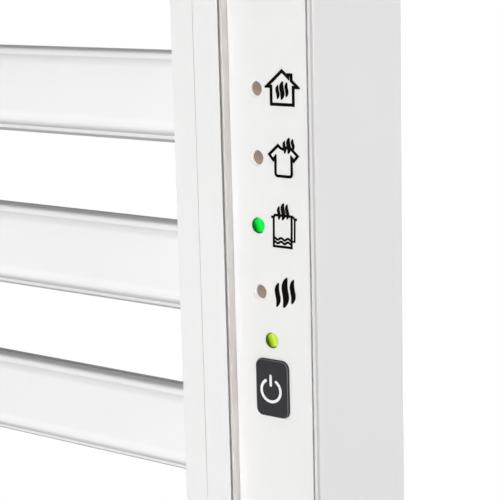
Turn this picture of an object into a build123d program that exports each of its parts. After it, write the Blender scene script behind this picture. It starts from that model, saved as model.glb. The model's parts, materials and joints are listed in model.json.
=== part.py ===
from build123d import *
import os

os.makedirs("parts", exist_ok=True)

# Wall-mounted electric towel warmer, in millimetres.
# X runs along the bars, Y towards the wall, Z up.
# The origin is the middle of the four wall fixings, on the wall's face.

# Ladder; the bars stand in groups, with one place left out between them
overall_width = 500.0
bar_counts = (5, 4, 3)
bar_pitch = 55.5
column_end_margin = 42.25
wall_gap = 35.0

# Bars: flattened oval tubes with a screw port in the middle
bar_height = 30.0
bar_depth = 12.0
bar_top_flat = 1.2
bar_wall = 1.3
bar_setback = 11.5
port_outer = 6.6
port_bore = 4.2
port_web = 1.8

# Columns: an inner rail that carries the bars and an outer casing hooked on it
column_width = 50.0
column_depth = 55.0
metal_wall = 1.8
rail_width = 8.8
flange_width = 9.4
seam_gap = 0.12
tongue_reach = 5.0
tongue_thickness = 1.5
corner_radius = 0.6
back_corner_radius = 1.6

# Front strips: a moulded floor with a raised lip on the bars' side
strip_step = 3.4
strip_floor = 2.1
strip_gap = 0.6
lip_thickness = 0.6
lip_below_front = 0.3
ledge_width = 2.8
ledge_thickness = 1.5
hook_leg = 1.2
hook_reach = 1.0
hook_thickness = 0.9
hook_clearance = 0.2
hook_slack = 0.1
hook_end_gap = 3.0

# Control face
button_above_first_bar = 24.2
button_width = 12.0
button_length = 18.2
button_corner = 2.4
button_proud = 0.8
button_edge = 0.35
button_face = 1.4
button_wall = 1.2
button_travel = 0.4
button_clearance = 0.15
button_flange = 1.0
button_flange_thickness = 1.0
button_seat_gap = 0.05
button_post_radius = 1.6
button_post_reach = 0.95
collar_wall = 1.0
collar_clearance = 0.3
collar_depth = 2.6
indicator_hole = 5.0
indicator_recess = 1.7
indicator_clearance = 0.1
indicator_pitch = 20.8
indicator_offset = 4.1
power_lamp_above_button = 6.1
modes_above_power_lamp = 14.8
guide_flange = 0.8
guide_flange_thickness = 0.8

# Control board
board_thickness = 1.6
board_corner = 1.0
control_board_width = 19.6
board_below_button = 11.9
board_above_lamps = 10.0
board_boss_radius = 2.0
board_boss_inset = 2.6
board_pilot_radius = 0.9
board_screw_hole_radius = 1.25
board_screw_length = 5.5
board_screw_head_radius = 2.2
board_screw_head = 1.4
screw_clearance = 0.05
chip_width = 3.0
chip_height = 1.2
switch_size = 6.2
switch_height = 3.6
switch_corner = 0.5
plunger_radius = 1.7
plunger_clearance = 0.05
plunger_proud = 0.9
plunger_length = 2.8
plunger_end_gap = 0.1
sensor_radius = 1.9
sensor_length = 8.0
sensor_nose = 1.2
sensor_board_gap = 0.1
sensor_edge_gap = 0.5

# Power side, on the casing's back wall
power_board_above_button = 30.0
power_board_side_gap = 1.8
power_board_trunk_gap = 0.4
standoff_height = 5.6
standoff_radius = 2.6
standoff_inset = 4.0
transformer_core = (16.0, 14.0, 32.0)
transformer_coil = (22.0, 16.0, 20.0)
transformer_edge_gap = 3.0
relay_size = (15.0, 15.5, 19.0)
relay_edge = 0.6
terminal_size = (22.0, 11.0, 11.0)
terminal_edge_gap = 1.0
terminal_above_control_board = 11.0
terminal_ways = 4
terminal_way_radius = 1.6
terminal_way_depth = 5.0
ribbon_width = 12.0
ribbon_thickness = 1.0
ribbon_slack = 7.0
ribbon_edge_inset = 6.5

# Heating and wiring
heater_end_inset = 10.0
heater_thickness = 3.0
heater_clearance = 0.2
lead_radius = 1.2
lead_hole_radius = 2.0
lead_tail = 0.4
trunk_radius = 2.4
trunk_wall_gap = 0.6
tail_radius = 2.0
tail_bend = 5.0
cutout_radius = 7.0
cutout_height = 5.0
cutout_above_power_board = 28.0
cutout_terminal = (2.4, 0.8, 6.0)

# Fasteners of the bars
bar_screw_hole = 5.4
bar_screw_length = 16.0
bar_screw_head_radius = 4.2
bar_screw_head = 2.6

# End caps
cap_thickness = 2.5
cap_edge = 0.8
cap_spigot = 8.0
cap_spigot_wall = 1.8
cap_clearance = 0.2
cap_hook_gap = 1.0

# Cord inlet in the right column's lower cap
gland_bore = 7.2
gland_thread = 15.6
gland_flange = 23.0
gland_flange_thickness = 4.0
gland_dome = 18.0
gland_dome_height = 9.0
gland_nose_wall = 2.2
gland_wall_clearance = 0.2
gland_shank = 9.0
gland_nut_thickness = 4.0
gland_nut_width = 23.0
gland_behind_middle = 3.0

# Wall brackets
fixing_end_inset = 203.0
fixing_hole = 6.5
foot_flange = 34.0
foot_flange_thickness = 3.0
foot_boss = 20.0
foot_boss_length = 16.0
foot_screw_recess = 12.5
foot_screw_seat = 1.0
boss_clearance = 0.1
flange_clearance = 0.3
sleeve_wall = 1.7
sleeve_wall_clearance = 0.2
sleeve_bottom = 4.0
sleeve_edge = 1.2
bolt_size = 8.0
bolt_clearance = 0.2
bolt_head_radius = 6.5
bolt_head = 4.0
bolt_tail = 0.8
nut_plate = (18.0, 4.0, 16.0)
grub_size = 5.0
grub_from_wall = 9.0
grub_tip_gap = 0.05
grub_recess = 1.15

# Places along the column, counted from its lower end
bar_places = []
place = 0
for count in bar_counts:
    for _ in range(count):
        bar_places.append(place)
        place += 1
    place += 1
column_length = 2 * column_end_margin + bar_pitch * bar_places[-1]
bottom = -column_length / 2
top = column_length / 2
first_bar_z = bottom + column_end_margin
bar_heights = [first_bar_z + bar_pitch * place for place in bar_places]
bar_length = overall_width - 2 * column_width
bar_corner = (bar_depth - bar_top_flat) / 2

# Places across the right column and through its depth
inner_face = bar_length / 2
outer_face = overall_width / 2
front = -(wall_gap + column_depth)
back = -wall_gap
bar_y = front + bar_setback + bar_depth / 2
seam = inner_face + rail_width
flange_end = seam + flange_width
casing_edge = seam + seam_gap / 2
web_inner = casing_edge + metal_wall
side_inner = outer_face - metal_wall
back_inner = back - metal_wall
strip_left = flange_end + strip_gap
strip_right = side_inner - strip_gap
strip_middle = (strip_left + strip_right) / 2
strip_front = front + strip_step
strip_back = strip_front + strip_floor

# Controls: the button, the lamps above it and the board behind them
button_z = first_bar_z + button_above_first_bar
button_flange_front = strip_back + button_seat_gap
button_flange_back = button_flange_front + button_flange_thickness
plunger_front = button_flange_back + button_post_reach
board_front = plunger_front + plunger_proud + switch_height
board_back = board_front + board_thickness
power_lamp_z = button_z + button_length / 2 + power_lamp_above_button
mode_x = strip_middle - indicator_offset
mode_heights = [power_lamp_z + modes_above_power_lamp + indicator_pitch * n for n in range(4)]
board_low = button_z - button_length / 2 - board_below_button
board_high = mode_heights[-1] + board_above_lamps

# Power board: beside the harness, and long enough for its terminals to clear the control board
trunk_x = web_inner + trunk_wall_gap + trunk_radius
power_board_left = trunk_x + trunk_radius + power_board_trunk_gap
power_board_right = side_inner - power_board_side_gap
power_board_x = (power_board_left + power_board_right) / 2
power_board_back = back_inner - standoff_height
power_board_front = power_board_back - board_thickness
power_board_low = button_z + power_board_above_button
terminal_z = board_high + terminal_above_control_board + terminal_size[2] / 2
power_board_high = terminal_z + terminal_size[2] / 2 + terminal_edge_gap

# Wall fixings, behind the columns' middles
fixing_height = column_length - 2 * fixing_end_inset
bracket_x = (inner_face + outer_face) / 2
bracket_places = {
    "upper_left": (-bracket_x, fixing_height / 2),
    "upper_right": (bracket_x, fixing_height / 2),
    "lower_left": (-bracket_x, -fixing_height / 2),
    "lower_right": (bracket_x, -fixing_height / 2),
}


def save(part, name):
    """Label a finished piece and write it."""
    part.label = name
    export_step(part, f"parts/{name}.step")


def front_plane(y):
    """A sketch plane seen from the front, with X to the right and Z up, at depth y."""
    return Plane(origin=(0, y, 0), x_dir=(1, 0, 0), z_dir=(0, -1, 0))


def side_plane(x):
    """A sketch plane square to the bars, with Y and Z as its directions, at x."""
    return Plane(origin=(x, 0, 0), x_dir=(0, 1, 0), z_dir=(1, 0, 0))


def mirrored(part):
    """The left column's copy of a right column's piece."""
    with BuildPart() as copy:
        mirror(part, about=Plane.YZ)
    return copy.part


# Bars


def make_bar(height):
    """One oval bar: outer skin, screw port and the web that ties the port to the skin."""
    with BuildPart() as bar:
        with BuildSketch(side_plane(-inner_face)):
            with Locations((bar_y, height)):
                RectangleRounded(bar_depth, bar_height, bar_corner)
                RectangleRounded(
                    bar_depth - 2 * bar_wall,
                    bar_height - 2 * bar_wall,
                    bar_corner - bar_wall,
                    mode=Mode.SUBTRACT,
                )
                Rectangle(bar_depth - bar_wall, port_web)
                Circle(port_outer / 2)
                Circle(port_bore / 2, mode=Mode.SUBTRACT)
        extrude(amount=bar_length)
    return bar.part


for number, height in enumerate(bar_heights, start=1):
    save(make_bar(height), f"bar_{number:02d}")


# Column rails: a channel whose web carries the bars, open towards the casing

bar_screw_places = [(bar_y, height) for height in bar_heights]

# The heating strips lie above the screw port, on the flat of each bar's front wall
heater_low = port_outer / 2 + heater_clearance
heater_high = bar_height / 2 - bar_corner - heater_clearance
heater_height = heater_high - heater_low
heater_y = bar_y - bar_depth / 2 + bar_wall + heater_thickness / 2
heater_places = [(heater_y, height + (heater_low + heater_high) / 2) for height in bar_heights]


def make_rail(with_leads):
    """The inner extrusion, drilled for the bars' screws and, on the live side, their leads."""
    with BuildPart() as rail:
        with BuildSketch(Plane.XY.offset(bottom)):
            with BuildLine():
                Polyline(
                    (inner_face, front),
                    (seam - seam_gap / 2, front),
                    (seam - seam_gap / 2, front + metal_wall),
                    (inner_face + metal_wall, front + metal_wall),
                    (inner_face + metal_wall, back - metal_wall),
                    (seam - seam_gap / 2, back - metal_wall),
                    (seam - seam_gap / 2, back),
                    (inner_face, back),
                    close=True,
                )
            make_face()
        extrude(amount=column_length)
        web_edges = rail.edges().filter_by(Axis.Z).group_by(Axis.X)[0]
        fillet(web_edges, radius=corner_radius)
        with BuildSketch(side_plane(inner_face)):
            with Locations(*bar_screw_places):
                Circle(bar_screw_hole / 2)
            if with_leads:
                with Locations(*heater_places):
                    Circle(lead_hole_radius)
        extrude(amount=metal_wall, mode=Mode.SUBTRACT)
    return rail.part


rail_right = make_rail(with_leads=True)
rail_left = mirrored(make_rail(with_leads=False))
save(rail_right, "bar_rail_right")
save(rail_left, "bar_rail_left")


# Column casings: front flange, strip ledges, side and back walls, and an inner web
# with two tongues that hook behind the rail's flanges

ledge_front = strip_back
ledge_back = ledge_front + ledge_thickness
tongue_end = seam - tongue_reach
tongue_front = front + metal_wall
tongue_back = tongue_front + tongue_thickness


def make_casing(with_leads):
    """The outer extrusion of a column, with its fixing hole and lead holes."""
    with BuildPart() as casing:
        with BuildSketch(Plane.XY.offset(bottom)):
            with BuildLine():
                Polyline(
                    (casing_edge, front),
                    (flange_end, front),
                    (flange_end, ledge_front),
                    (flange_end + ledge_width, ledge_front),
                    (flange_end + ledge_width, ledge_back),
                    (flange_end - metal_wall, ledge_back),
                    (flange_end - metal_wall, tongue_front),
                    (web_inner, tongue_front),
                    (web_inner, back_inner),
                    (side_inner, back_inner),
                    (side_inner, ledge_back),
                    (side_inner - ledge_width, ledge_back),
                    (side_inner - ledge_width, ledge_front),
                    (side_inner, ledge_front),
                    (side_inner, strip_front),
                    (outer_face, strip_front),
                    (outer_face, back),
                    (casing_edge, back),
                    (casing_edge, back_inner),
                    (tongue_end, back_inner),
                    (tongue_end, back_inner - tongue_thickness),
                    (casing_edge, back_inner - tongue_thickness),
                    (casing_edge, tongue_back),
                    (tongue_end, tongue_back),
                    (tongue_end, tongue_front),
                    (casing_edge, tongue_front),
                    close=True,
                )
            make_face()
        extrude(amount=column_length)
        outer_edges = casing.edges().filter_by(Axis.Z).group_by(Axis.X)[-1].sort_by(Axis.Y)
        fillet(outer_edges[0], radius=corner_radius)
        outer_edges = casing.edges().filter_by(Axis.Z).group_by(Axis.X)[-1].sort_by(Axis.Y)
        fillet(outer_edges[-1], radius=back_corner_radius)
        with BuildSketch(front_plane(back)):
            with Locations((bracket_x, -fixing_height / 2), (bracket_x, fixing_height / 2)):
                Circle(bolt_size / 2 + bolt_clearance)
        extrude(amount=metal_wall, mode=Mode.SUBTRACT)
        if with_leads:
            with BuildSketch(side_plane(casing_edge)):
                with Locations(*heater_places):
                    Circle(lead_hole_radius)
            extrude(amount=metal_wall, mode=Mode.SUBTRACT)
    return casing.part


casing_right = make_casing(with_leads=True)
casing_left = mirrored(make_casing(with_leads=False))
save(casing_right, "column_casing_right")
save(casing_left, "column_casing_left")


# Front strips: the same moulded section closes both columns

hook_line_left = flange_end + ledge_width + hook_clearance
hook_line_right = side_inner - ledge_width - hook_clearance
hook_front = ledge_back + hook_slack
hook_back = hook_front + hook_thickness


def hook_outline(line, side):
    """A snap hook's profile: a leg behind the floor and a toe under the ledge, towards side."""
    return [
        (line, strip_back),
        (line, hook_front),
        (line + side * hook_reach, hook_front),
        (line + side * hook_reach, hook_back),
        (line - side * hook_leg, hook_back),
        (line - side * hook_leg, strip_back),
    ]


def make_strip(hook_spans):
    """The strip: its floor and raised lip, and a pair of snap hooks along each span."""
    with BuildPart() as strip:
        with BuildSketch(Plane.XY.offset(bottom)):
            with BuildLine():
                Polyline(
                    (strip_left, front + lip_below_front),
                    (strip_left + lip_thickness, front + lip_below_front),
                    (strip_left + lip_thickness, strip_front),
                    (strip_right, strip_front),
                    (strip_right, strip_back),
                    (strip_left, strip_back),
                    close=True,
                )
            make_face()
        extrude(amount=column_length)
        for low, high in hook_spans:
            for line, side in ((hook_line_left, -1), (hook_line_right, 1)):
                with BuildSketch(Plane.XY.offset(low)):
                    with BuildLine():
                        Polyline(*hook_outline(line, side), close=True)
                    make_face()
                extrude(amount=high - low)
    return strip.part


blank_strip = mirrored(make_strip([(bottom, top)]))
save(blank_strip, "blank_strip")

boss_x = control_board_width / 2 - board_boss_inset
boss_places = [
    (strip_middle + side * boss_x, height)
    for side in (-1, 1)
    for height in (board_low + board_boss_inset, board_high - board_boss_inset)
]
indicator_places = {
    "power": (strip_middle, power_lamp_z),
    "heat": (mode_x, mode_heights[0]),
    "towel": (mode_x, mode_heights[1]),
    "laundry": (mode_x, mode_heights[2]),
    "room": (mode_x, mode_heights[3]),
}
flange_reach = button_flange + collar_clearance
control_hook_spans = [(bottom, board_low - hook_end_gap), (board_high + hook_end_gap, top)]


def button_outline(reach):
    """Width, length and corner radius of the button's outline, grown by reach all round."""
    return button_width + 2 * reach, button_length + 2 * reach, button_corner + reach


with BuildPart() as control_strip:
    add(make_strip(control_hook_spans))
    with BuildSketch(front_plane(strip_back)):
        with Locations((strip_middle, button_z)):
            RectangleRounded(*button_outline(flange_reach + collar_wall))
            RectangleRounded(*button_outline(flange_reach), mode=Mode.SUBTRACT)
    extrude(amount=-collar_depth)
    with BuildSketch(front_plane(strip_back)):
        with Locations(*boss_places):
            Circle(board_boss_radius)
    extrude(amount=strip_back - board_front)
    with BuildSketch(front_plane(board_front)):
        with Locations(*boss_places):
            Circle(board_pilot_radius)
    extrude(amount=board_screw_length, mode=Mode.SUBTRACT)
    with BuildSketch(front_plane(strip_front)):
        with Locations((strip_middle, button_z)):
            RectangleRounded(*button_outline(button_clearance))
        with Locations(*indicator_places.values()):
            Circle(indicator_hole / 2)
    extrude(amount=-strip_floor, mode=Mode.SUBTRACT)
save(control_strip.part, "control_strip")


# Indicator light guides: a stem in the strip's hole and a flange behind it

guide_radius = indicator_hole / 2 - indicator_clearance
guide_face = strip_front + indicator_recess
guide_end = board_front - chip_height

for name, place in indicator_places.items():
    with BuildPart() as guide:
        with BuildSketch(front_plane(guide_face)):
            with Locations(place):
                Circle(guide_radius)
        extrude(amount=guide_face - guide_end)
        with BuildSketch(front_plane(strip_back)):
            with Locations(place):
                Circle(guide_radius + guide_flange)
        extrude(amount=-guide_flange_thickness)
    save(guide.part, f"indicator_{name}")


# Power button: a shelled cap with a stop flange and a post for the switch

button_front = strip_front - button_proud

with BuildPart() as power_button:
    with BuildSketch(front_plane(button_front)):
        with Locations((strip_middle, button_z)):
            RectangleRounded(*button_outline(0))
    extrude(amount=button_front - button_flange_front)
    fillet(power_button.faces().sort_by(Axis.Y)[0].edges(), radius=button_edge)
    with BuildSketch(front_plane(button_flange_front)):
        with Locations((strip_middle, button_z)):
            RectangleRounded(*button_outline(button_flange))
    extrude(amount=-button_flange_thickness)
    with BuildSketch(front_plane(button_flange_back)):
        with Locations((strip_middle, button_z)):
            RectangleRounded(*button_outline(-button_wall))
            Circle(button_post_radius, mode=Mode.SUBTRACT)
    extrude(amount=button_flange_back - button_front - button_face, mode=Mode.SUBTRACT)
    with BuildSketch(front_plane(button_flange_back)):
        with Locations((strip_middle, button_z)):
            Circle(button_post_radius)
    extrude(amount=-button_post_reach)
save(power_button.part, "power_button")


# Push switch under the button

plunger_bore_depth = plunger_length - plunger_proud + button_travel + plunger_end_gap

with BuildPart() as switch_body:
    with BuildSketch(front_plane(board_front)):
        with Locations((strip_middle, button_z)):
            RectangleRounded(switch_size, switch_size, switch_corner)
    extrude(amount=switch_height)
    with BuildSketch(front_plane(board_front - switch_height)):
        with Locations((strip_middle, button_z)):
            Circle(plunger_radius + plunger_clearance)
    extrude(amount=-plunger_bore_depth, mode=Mode.SUBTRACT)
save(switch_body.part, "switch_body")

with BuildPart() as switch_plunger:
    with BuildSketch(front_plane(plunger_front)):
        with Locations((strip_middle, button_z)):
            Circle(plunger_radius)
    extrude(amount=-plunger_length)
save(switch_plunger.part, "switch_plunger")


# Control board and what is soldered to it

with BuildPart() as control_board:
    with BuildSketch(front_plane(board_back)):
        with Locations((strip_middle, (board_low + board_high) / 2)):
            RectangleRounded(control_board_width, board_high - board_low, board_corner)
        with Locations(*boss_places):
            Circle(board_screw_hole_radius, mode=Mode.SUBTRACT)
    extrude(amount=board_thickness)
save(control_board.part, "control_board")

with BuildPart() as board_screws:
    with BuildSketch(front_plane(board_back)):
        with Locations(*boss_places):
            Circle(board_screw_head_radius)
    extrude(amount=-board_screw_head)
    with BuildSketch(front_plane(board_back)):
        with Locations(*boss_places):
            Circle(board_pilot_radius - screw_clearance)
    extrude(amount=board_screw_length)
save(board_screws.part, "board_screws")

with BuildPart() as indicator_chips:
    with BuildSketch(front_plane(board_front)):
        with Locations(*indicator_places.values()):
            Rectangle(chip_width, chip_width)
    extrude(amount=chip_height)
save(indicator_chips.part, "indicator_chips")

sensor_y = board_front - sensor_board_gap - sensor_radius

with BuildPart() as room_sensor:
    with BuildSketch(Plane.XY.offset(board_low + sensor_edge_gap)):
        with Locations((strip_middle, sensor_y)):
            Circle(sensor_radius)
    extrude(amount=sensor_length)
    chamfer(room_sensor.faces().sort_by(Axis.Z)[-1].edges(), length=sensor_nose)
save(room_sensor.part, "room_sensor")


# Power board on the casing's back wall

standoff_places = [
    (x, z)
    for x in (power_board_left + standoff_inset, power_board_right - standoff_inset)
    for z in (power_board_low + standoff_inset, power_board_high - standoff_inset)
]

with BuildPart() as power_board:
    with BuildSketch(front_plane(power_board_back)):
        with Locations((power_board_x, (power_board_low + power_board_high) / 2)):
            RectangleRounded(
                power_board_right - power_board_left,
                power_board_high - power_board_low,
                board_corner,
            )
    extrude(amount=board_thickness)
save(power_board.part, "power_board")

with BuildPart() as board_standoffs:
    with BuildSketch(front_plane(back_inner)):
        with Locations(*standoff_places):
            RegularPolygon(standoff_radius, 6)
    extrude(amount=standoff_height)
save(board_standoffs.part, "board_standoffs")

transformer_z = power_board_low + transformer_edge_gap + transformer_core[2] / 2
transformer_top = transformer_z + transformer_core[2] / 2

with BuildPart() as transformer:
    for width, depth, height in (transformer_core, transformer_coil):
        with BuildSketch(front_plane(power_board_front)):
            with Locations((power_board_x, transformer_z)):
                Rectangle(width, height)
        extrude(amount=depth)
save(transformer.part, "transformer")

relay_x = power_board_left + relay_size[0] / 2
relay_z = (transformer_top + terminal_z - terminal_size[2] / 2) / 2

with BuildPart() as relay:
    with BuildSketch(front_plane(power_board_front)):
        with Locations((relay_x, relay_z)):
            Rectangle(relay_size[0], relay_size[2])
    extrude(amount=relay_size[1])
    chamfer(relay.faces().sort_by(Axis.Y)[0].edges(), length=relay_edge)
save(relay.part, "relay")

terminal_front = power_board_front - terminal_size[1]
way_pitch = terminal_size[0] / terminal_ways

with BuildPart() as terminal_block:
    with BuildSketch(front_plane(power_board_front)):
        with Locations((power_board_x, terminal_z)):
            Rectangle(terminal_size[0], terminal_size[2])
    extrude(amount=terminal_size[1])
    with BuildSketch(front_plane(terminal_front)):
        with Locations((power_board_x, terminal_z)):
            with GridLocations(way_pitch, way_pitch, terminal_ways, 1):
                Circle(terminal_way_radius)
    extrude(amount=-terminal_way_depth, mode=Mode.SUBTRACT)
save(terminal_block.part, "terminal_block")

ribbon_x = power_board_right - ribbon_edge_inset
ribbon_middle = (board_back + power_board_front) / 2

with BuildPart() as board_ribbon:
    with BuildSketch(Plane.XY.offset(relay_z - ribbon_width / 2)):
        with BuildLine() as ribbon_route:
            FilletPolyline(
                (ribbon_x, board_back),
                (ribbon_x, ribbon_middle - ribbon_slack),
                (ribbon_x + ribbon_slack / 2, ribbon_middle),
                (ribbon_x, ribbon_middle + ribbon_slack),
                (ribbon_x, power_board_front),
                radius=ribbon_slack / 2,
            )
        trace(ribbon_route.line, line_width=ribbon_thickness)
    extrude(amount=ribbon_width)
save(board_ribbon.part, "board_ribbon")


# Heating strips: flat against each bar's front wall, with a lead out of its right end

heater_right_end = inner_face - heater_end_inset
lead_end = web_inner + lead_tail

with BuildPart() as heater_strips:
    with BuildSketch(side_plane(heater_right_end)):
        with Locations(*heater_places):
            Rectangle(heater_thickness, heater_height)
    extrude(amount=2 * heater_end_inset - bar_length)
    with BuildSketch(side_plane(heater_right_end)):
        with Locations(*heater_places):
            Circle(lead_radius)
    extrude(amount=lead_end - heater_right_end)
save(heater_strips.part, "heater_strips")


# Wiring harness: a trunk along the column, a branch to each bar and a tail to the terminals

trunk_low = heater_places[0][1] - trunk_radius
trunk_high = heater_places[-1][1] + trunk_radius

with BuildPart() as wiring_harness:
    with BuildSketch(Plane.XY.offset(trunk_low)):
        with Locations((trunk_x, heater_y)):
            Circle(trunk_radius)
    extrude(amount=trunk_high - trunk_low)
    with BuildSketch(side_plane(lead_end)):
        with Locations(*heater_places):
            Circle(lead_radius)
    extrude(amount=trunk_x - lead_end)
    with BuildLine() as tail_route:
        FilletPolyline(
            (trunk_x, heater_y, terminal_z),
            (power_board_x, heater_y, terminal_z),
            (power_board_x, terminal_front, terminal_z),
            radius=tail_bend,
        )
    with BuildSketch(side_plane(trunk_x)):
        with Locations((heater_y, terminal_z)):
            Circle(tail_radius)
    sweep(path=tail_route.line)
save(wiring_harness.part, "wiring_harness")


# Thermal cut-out: a disc on the column's web with two blade terminals

cutout_z = power_board_high + cutout_above_power_board
cutout_place = ((front + back) / 2, cutout_z)

with BuildPart() as thermal_cutout:
    with BuildSketch(side_plane(web_inner)):
        with Locations(cutout_place):
            Circle(cutout_radius)
    extrude(amount=cutout_height)
    with BuildSketch(side_plane(web_inner + cutout_height)):
        with Locations(cutout_place):
            with GridLocations(cutout_radius, cutout_radius, 2, 1):
                Rectangle(cutout_terminal[1], cutout_terminal[0])
    extrude(amount=cutout_terminal[2])
save(thermal_cutout.part, "thermal_cutout")


# Hexagon screws that pull the bars against the rails, one at each end

screw_seat = inner_face + metal_wall

with BuildPart() as bar_screws:
    with BuildSketch(side_plane(screw_seat)):
        with Locations(*bar_screw_places):
            RegularPolygon(bar_screw_head_radius, 6)
    extrude(amount=bar_screw_head)
    with BuildSketch(side_plane(screw_seat)):
        with Locations(*bar_screw_places):
            Circle(port_bore / 2 - screw_clearance)
    extrude(amount=-bar_screw_length)
    mirror(about=Plane.YZ)
save(bar_screws.part, "bar_screws")


# End caps: a stepped plate with two hollow spigots, one for each extrusion

cap_step = strip_left + lip_thickness
gland_x = (web_inner + side_inner) / 2
gland_y = (front + back) / 2 + gland_behind_middle
spigot_front = hook_back + cap_hook_gap
spigot_back = back_inner - cap_clearance - tongue_thickness
spigot_spans = (
    (inner_face + metal_wall + cap_clearance, casing_edge - cap_clearance, spigot_front),
    (web_inner + cap_clearance, side_inner - cap_clearance, spigot_front),
)


def make_cap(with_inlet):
    """A lower right end cap, with or without the hole for the cord's gland."""
    with BuildPart() as cap:
        with BuildSketch(Plane.XY.offset(bottom)):
            with BuildLine():
                Polyline(
                    (inner_face, front),
                    (cap_step, front),
                    (cap_step, strip_front),
                    (outer_face, strip_front),
                    (outer_face, back),
                    (inner_face, back),
                    close=True,
                )
            make_face()
        extrude(amount=-cap_thickness)
        chamfer(cap.faces().sort_by(Axis.Z)[0].edges(), length=cap_edge)
        for low_x, high_x, low_y in spigot_spans:
            width = high_x - low_x
            depth = spigot_back - low_y
            with BuildSketch(Plane.XY.offset(bottom)):
                with Locations(((low_x + high_x) / 2, (low_y + spigot_back) / 2)):
                    Rectangle(width, depth)
                    Rectangle(
                        width - 2 * cap_spigot_wall,
                        depth - 2 * cap_spigot_wall,
                        mode=Mode.SUBTRACT,
                    )
            extrude(amount=cap_spigot)
        if with_inlet:
            with BuildSketch(Plane.XY.offset(bottom)):
                with Locations((gland_x, gland_y)):
                    Circle(gland_thread / 2 + gland_wall_clearance)
            extrude(amount=-cap_thickness, mode=Mode.SUBTRACT)
    return cap.part


def upper(cap):
    """The same cap at the column's top end."""
    with BuildPart() as copy:
        mirror(cap, about=Plane.XY)
    return copy.part


plain_cap = make_cap(with_inlet=False)
save(make_cap(with_inlet=True), "end_cap_lower_right")
save(upper(plain_cap), "end_cap_upper_right")
save(mirrored(plain_cap), "end_cap_lower_left")
save(mirrored(upper(plain_cap)), "end_cap_upper_left")


# Cord gland in the lower right cap, and its lock nut inside the column

cap_under = bottom - cap_thickness
gland_axis = Axis((gland_x, gland_y, 0), (0, 0, 1))
gland_bottom = cap_under - gland_flange_thickness - gland_dome_height
gland_nose = gland_bore / 2 + gland_nose_wall

with BuildPart() as cable_gland:
    with BuildSketch(Plane.XZ.offset(-gland_y)):
        with BuildLine():
            Polyline(
                (gland_x + gland_bore / 2, gland_bottom),
                (gland_x + gland_nose, gland_bottom),
                (gland_x + gland_dome / 2, gland_bottom + gland_dome_height / 2),
                (gland_x + gland_dome / 2, cap_under - gland_flange_thickness),
                (gland_x + gland_thread / 2, cap_under - gland_flange_thickness),
                (gland_x + gland_thread / 2, bottom + gland_shank),
                (gland_x + gland_bore / 2, bottom + gland_shank),
                close=True,
            )
        make_face()
    revolve(axis=gland_axis)
    with BuildSketch(Plane.XY.offset(cap_under)):
        with Locations((gland_x, gland_y)):
            RegularPolygon(gland_flange / 2, 6)
            Circle(gland_bore / 2, mode=Mode.SUBTRACT)
    extrude(amount=-gland_flange_thickness)
save(cable_gland.part, "cable_gland")

with BuildPart() as gland_nut:
    with BuildSketch(Plane.XY.offset(bottom)):
        with Locations((gland_x, gland_y)):
            RegularPolygon(gland_nut_width / 2, 6)
            Circle(gland_thread / 2 + screw_clearance, mode=Mode.SUBTRACT)
    extrude(amount=gland_nut_thickness)
save(gland_nut.part, "gland_nut")


# Wall brackets: a foot screwed to the wall, and a sleeve bolted to the column over it

foot_boss_end = -foot_flange_thickness - foot_boss_length
foot_recess_end = -foot_flange_thickness - foot_screw_seat
sleeve_bore = foot_boss / 2 + boss_clearance
sleeve_counterbore = foot_flange / 2 + flange_clearance
sleeve_counterbore_end = -foot_flange_thickness - flange_clearance
sleeve_radius = sleeve_counterbore + sleeve_wall
sleeve_wall_end = -sleeve_wall_clearance
sleeve_floor = back + sleeve_bottom
bolt_hole = bolt_size / 2 + bolt_clearance


def turned(points, centre):
    """A round piece turned about the line through centre, from (radius, y) points."""
    x, z = centre
    with BuildPart() as piece:
        with BuildSketch(Plane(origin=(x, 0, z), x_dir=(1, 0, 0), z_dir=(0, 0, 1))):
            with BuildLine():
                Polyline(*points, close=True)
            make_face()
        revolve(axis=Axis((x, 0, z), (0, 1, 0)))
    return piece.part


def make_foot(centre):
    """The foot: a flange on the wall, a boss, and a sunk hole for the wall screw."""
    return turned(
        [
            (fixing_hole / 2, 0),
            (foot_flange / 2, 0),
            (foot_flange / 2, -foot_flange_thickness),
            (foot_boss / 2, -foot_flange_thickness),
            (foot_boss / 2, foot_boss_end),
            (foot_screw_recess / 2, foot_boss_end),
            (foot_screw_recess / 2, foot_recess_end),
            (fixing_hole / 2, foot_recess_end),
        ],
        centre,
    )


def grub_plane(y, z):
    """A sketch plane for the set screws, facing down, with X to the right."""
    return Plane(origin=(0, y, z), x_dir=(1, 0, 0), z_dir=(0, 0, -1))


def make_sleeve(centre):
    """The sleeve: bored for the boss, counterbored for the flange, bolted through its floor."""
    x, z = centre
    round_body = turned(
        [
            (sleeve_counterbore, sleeve_wall_end),
            (sleeve_radius - sleeve_edge, sleeve_wall_end),
            (sleeve_radius, sleeve_wall_end - sleeve_edge),
            (sleeve_radius, back + sleeve_edge),
            (sleeve_radius - sleeve_edge, back),
            (bolt_hole, back),
            (bolt_hole, sleeve_floor),
            (sleeve_bore, sleeve_floor),
            (sleeve_bore, sleeve_counterbore_end),
            (sleeve_counterbore, sleeve_counterbore_end),
        ],
        centre,
    )
    with BuildPart() as sleeve:
        add(round_body)
        with BuildSketch(grub_plane(-grub_from_wall, z)):
            with Locations((x, 0)):
                Circle(grub_size / 2 + screw_clearance)
        extrude(amount=sleeve_radius, mode=Mode.SUBTRACT)
    return sleeve.part


for name, centre in bracket_places.items():
    save(make_foot(centre), f"wall_foot_{name}")
    save(make_sleeve(centre), f"bracket_sleeve_{name}")

bolt_end = back_inner - nut_plate[1] - bolt_tail

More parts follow.
